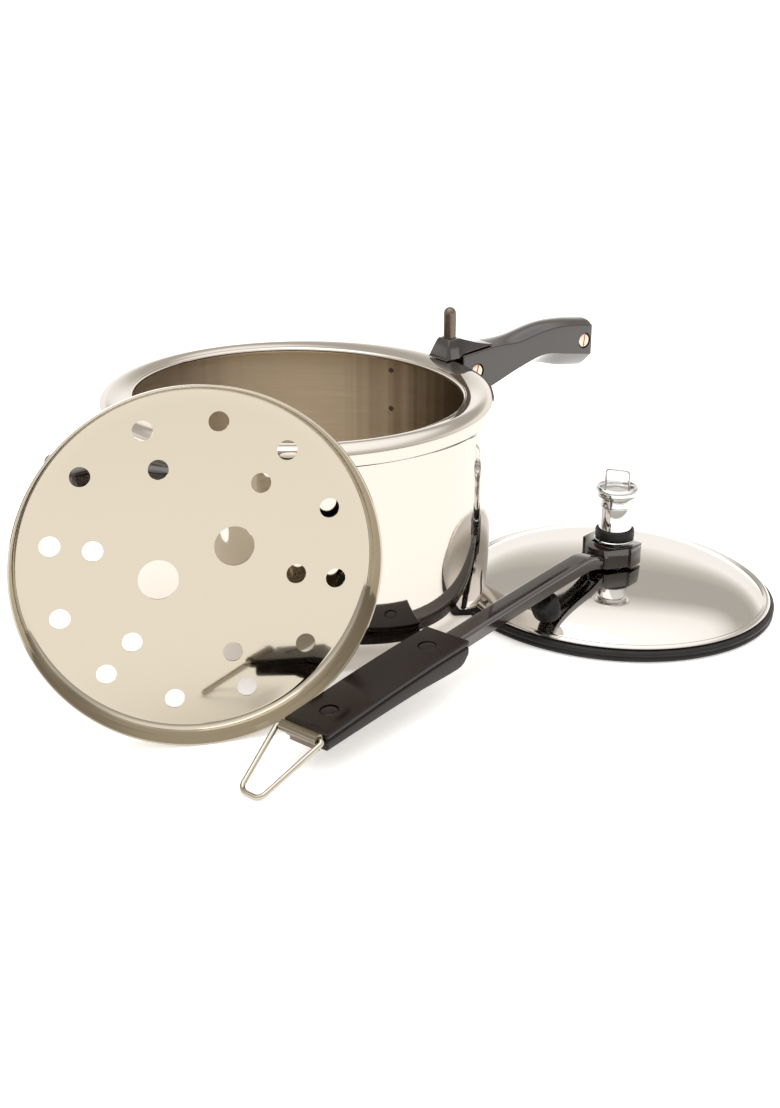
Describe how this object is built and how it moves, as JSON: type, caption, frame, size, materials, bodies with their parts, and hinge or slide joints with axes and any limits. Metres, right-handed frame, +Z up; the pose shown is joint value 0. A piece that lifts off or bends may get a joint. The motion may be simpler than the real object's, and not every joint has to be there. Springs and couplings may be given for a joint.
{
  "type": "pressure cooker",
  "caption": "Opened pressure cooker: round vessel with an oval mouth and side handle, inner lid with rocking lever, vent weight and locking loop, holed grid leaning on the rim.",
  "frame": {"origin": "centre of the vessel's base, on the floor", "axes": "+Z up, +X from the vessel toward the lid, +Y to the back, away from the leaning grid"},
  "size_m": [0.4128, 0.3491, 0.1816],
  "materials": {
    "polished_steel": "polished stainless steel, mirror-like outside and satin inside the vessel",
    "brushed_steel": "plain drawn or pressed steel",
    "black_moulding": "glossy black phenolic moulding",
    "black_rubber": "matt black rubber",
    "brass": "pale turned brass"
  },
  "bodies": {
    "pot": {"vessel": "polished_steel", "base_pad": "polished_steel", "handle_bracket": "brushed_steel", "body_handle": "black_moulding", "handle_screw_inner": "brass", "handle_screw_outer": "brass", "handle_nut_inner": "brass", "handle_nut_outer": "brass", "fulcrum_block": "black_moulding", "guide_pin": "brushed_steel"},
    "lid": {"lid_shell": "polished_steel", "lid_gasket": "black_rubber", "lid_hub": "black_moulding", "vent_tube": "polished_steel", "vent_nut": "brass", "safety_valve": "black_moulding", "safety_valve_nut": "brass", "pivot_pin_left": "brushed_steel", "pivot_pin_right": "brushed_steel"},
    "weight": {"weight_body": "polished_steel", "weight_ring": "black_moulding", "bail": "brushed_steel"},
    "lever": {"lever_yoke": "black_moulding", "lever_bar": "black_moulding", "grip_cap": "black_moulding", "grip_body": "black_moulding", "grip_screw_inner": "brass", "grip_screw_outer": "brass", "end_strip": "polished_steel"},
    "loop": {"locking_loop": "brushed_steel"},
    "grid": {"grid": "polished_steel"}
  },
  "joints": [
    {"name": "lid_slide", "type": "slide", "parent": "pot", "child": "lid", "axis": [1, 0, 0], "range_m": [0, 0.1]},
    {"name": "weight_lift", "type": "slide", "parent": "lid", "child": "weight", "axis": [0, 0, 1], "range_m": [0, 0.024]},
    {"name": "lever_hinge", "type": "hinge", "parent": "lid", "child": "lever", "pos_m": [0.1873, 0.0315, 0.0306], "axis": [-0.7672, 0.6414, 0], "range_deg": [0, 2]},
    {"name": "loop_hinge", "type": "hinge", "parent": "lever", "child": "loop", "pos_m": [0.00882, -0.18196, 0.02195], "axis": [-0.7672, 0.6414, 0], "range_deg": [0, 120]},
    {"name": "grid_lift", "type": "slide", "parent": "pot", "child": "grid", "axis": [0, 0, 1], "range_m": [0, 0.1]}
  ]
}
